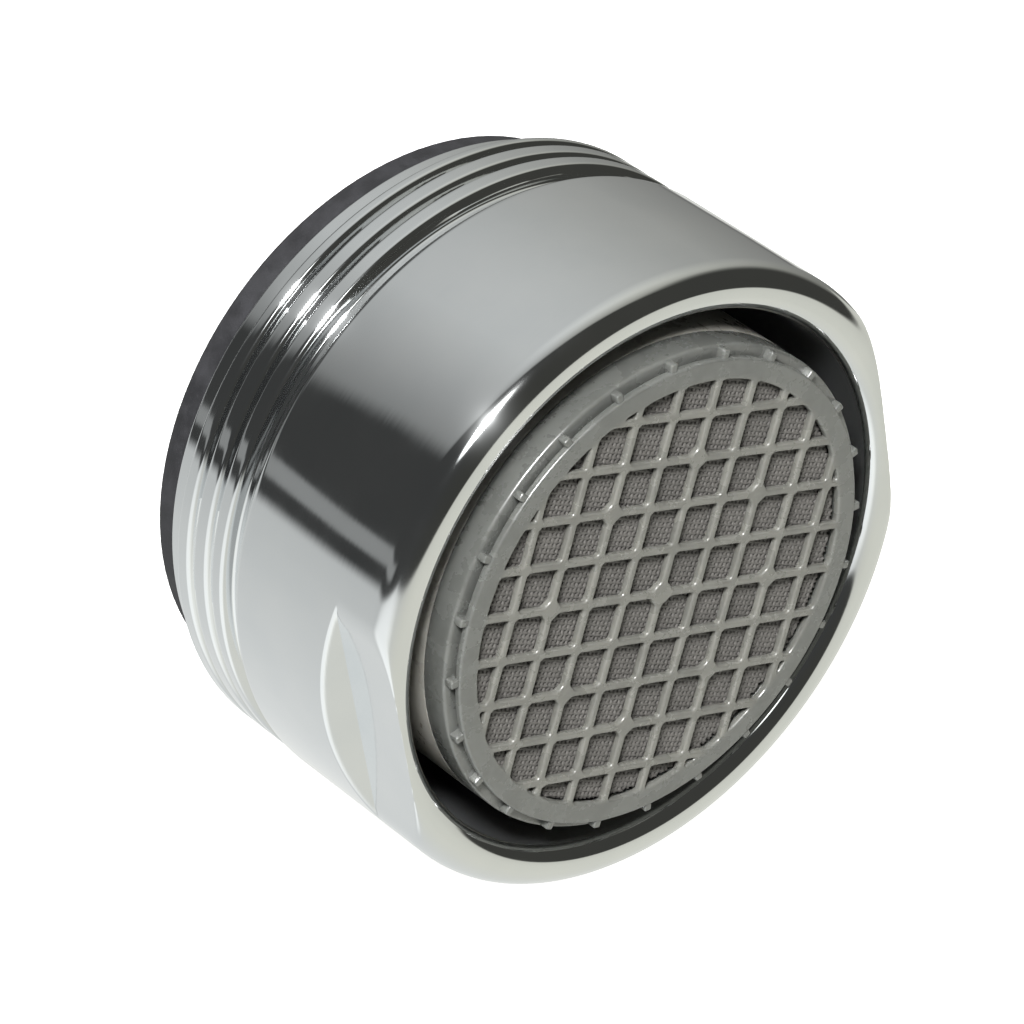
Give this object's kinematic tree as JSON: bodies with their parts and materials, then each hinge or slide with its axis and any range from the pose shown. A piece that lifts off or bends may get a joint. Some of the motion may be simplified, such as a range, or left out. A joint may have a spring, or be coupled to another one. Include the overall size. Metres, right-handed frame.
{
  "type": "tap aerator",
  "caption": "Chromed tap aerator with an outside thread, spanner flats and a grey outlet lattice over fine screens; it screws into a spout and mixes air into the water.",
  "frame": {"origin": "centre of the washer's sealing face, the lowest face when the aerator stands on its inlet end", "axes": "+Z along the axis from the inlet to the outlet; X square to the spanner flats"},
  "size_m": [0.024, 0.024, 0.014],
  "materials": {
    "chrome": "bright chrome plating on turned brass",
    "rubber": "matt black rubber",
    "white_plastic": "off-white moulding",
    "grey_plastic": "translucent grey moulding, lightly glossy",
    "steel_wire": "fine woven stainless wire"
  },
  "bodies": {
    "root": {"housing": "chrome", "sealing_washer": "rubber", "inlet_strainer": "white_plastic", "jet_plate": "white_plastic", "insert_sleeve": "grey_plastic", "upper_screen": "steel_wire", "upper_spacer": "white_plastic", "middle_screen": "steel_wire", "lower_spacer": "white_plastic", "lower_screen": "steel_wire", "outlet_grid": "grey_plastic"}
  },
  "joints": []
}
